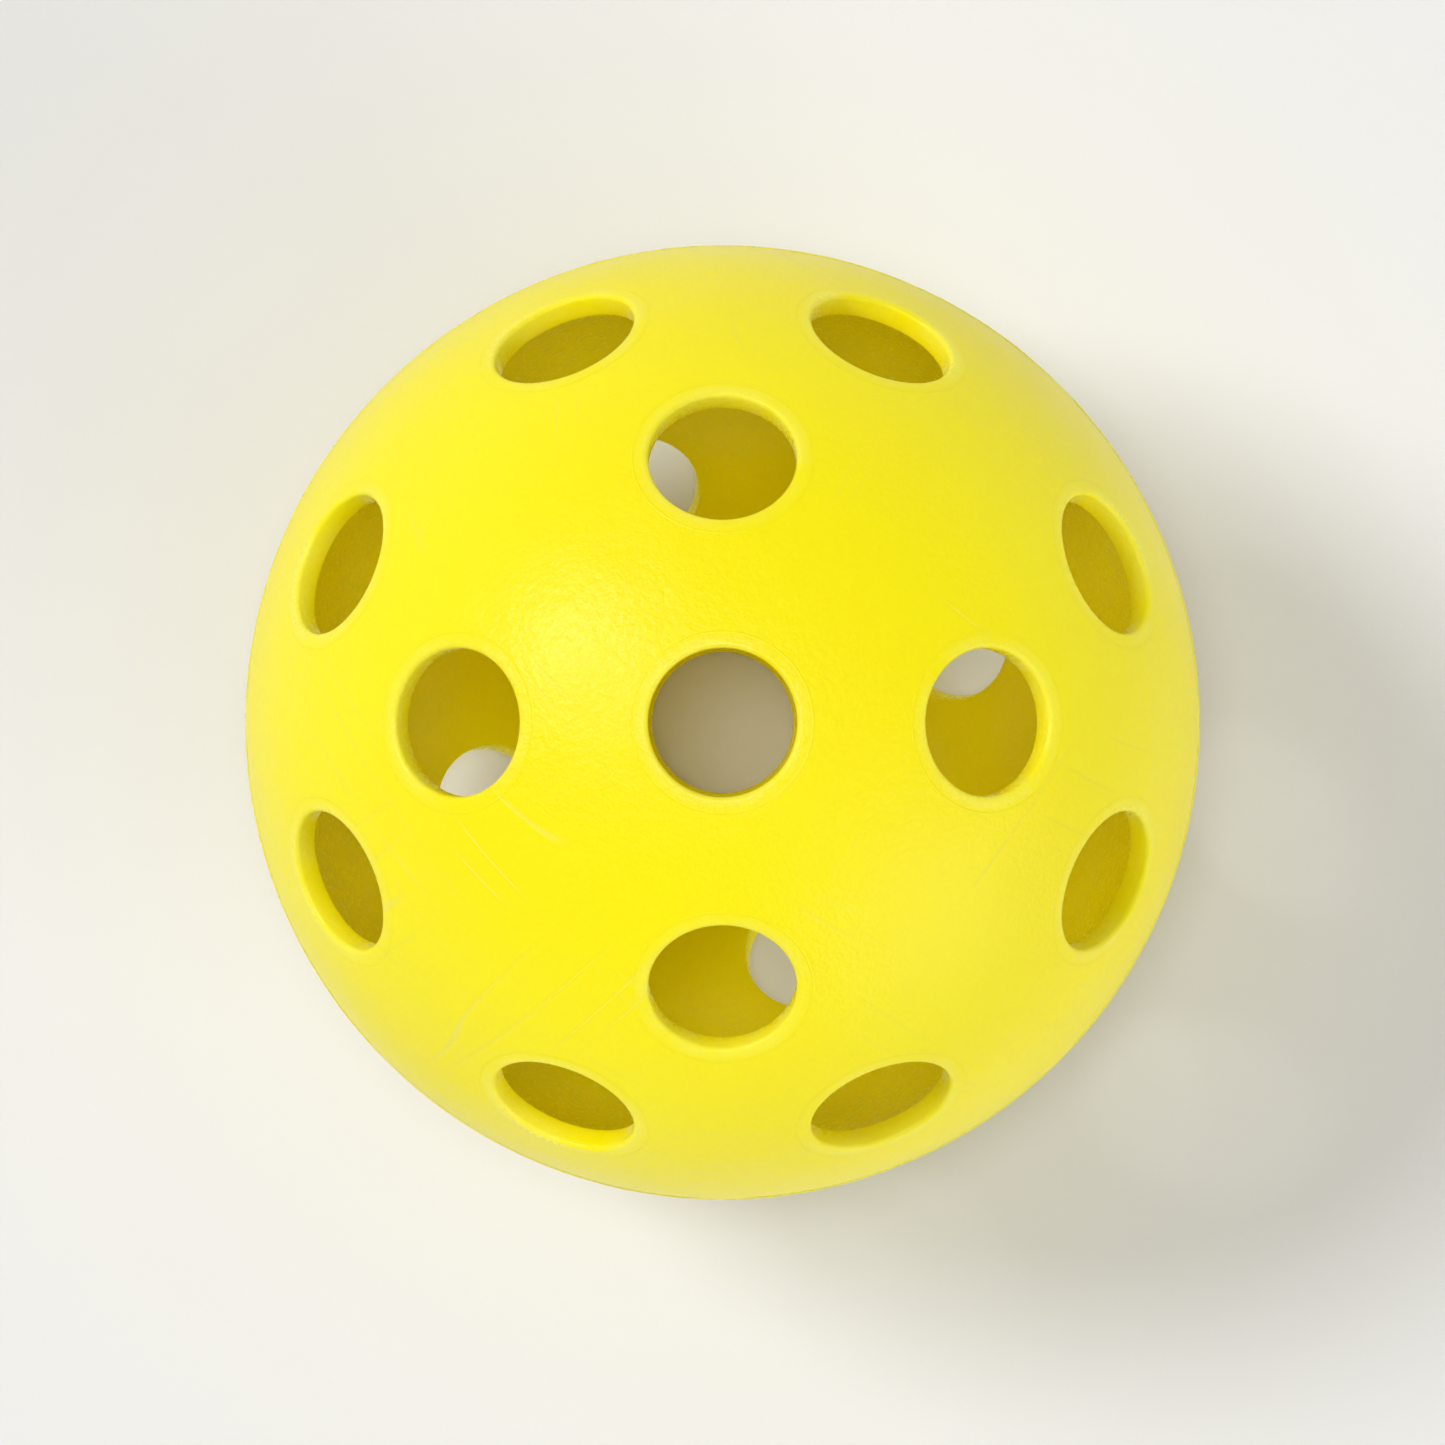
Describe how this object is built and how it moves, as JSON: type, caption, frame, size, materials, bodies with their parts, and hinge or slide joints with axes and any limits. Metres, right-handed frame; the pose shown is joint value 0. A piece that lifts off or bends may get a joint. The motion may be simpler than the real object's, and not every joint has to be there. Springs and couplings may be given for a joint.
{
  "type": "pickleball ball",
  "caption": "Hollow perforated plastic ball for paddle sport, made of two welded half shells with round holes, bright yellow.",
  "frame": {"origin": "centre of the ball", "axes": "+Z through the middle hole of the upper half, square to the weld; +X through one inner-row hole's azimuth on the upper half; the weld lies in the XY plane"},
  "size_m": [0.0742, 0.0742, 0.073],
  "materials": {
    "shell_plastic": "satin moulded polyethylene, optic yellow",
    "weld_plastic": "re-set weld plastic, slightly glossier and darker than the shell"
  },
  "bodies": {
    "root": {"upper_half_shell": "shell_plastic", "lower_half_shell": "shell_plastic", "weld_bead": "weld_plastic"}
  },
  "joints": []
}
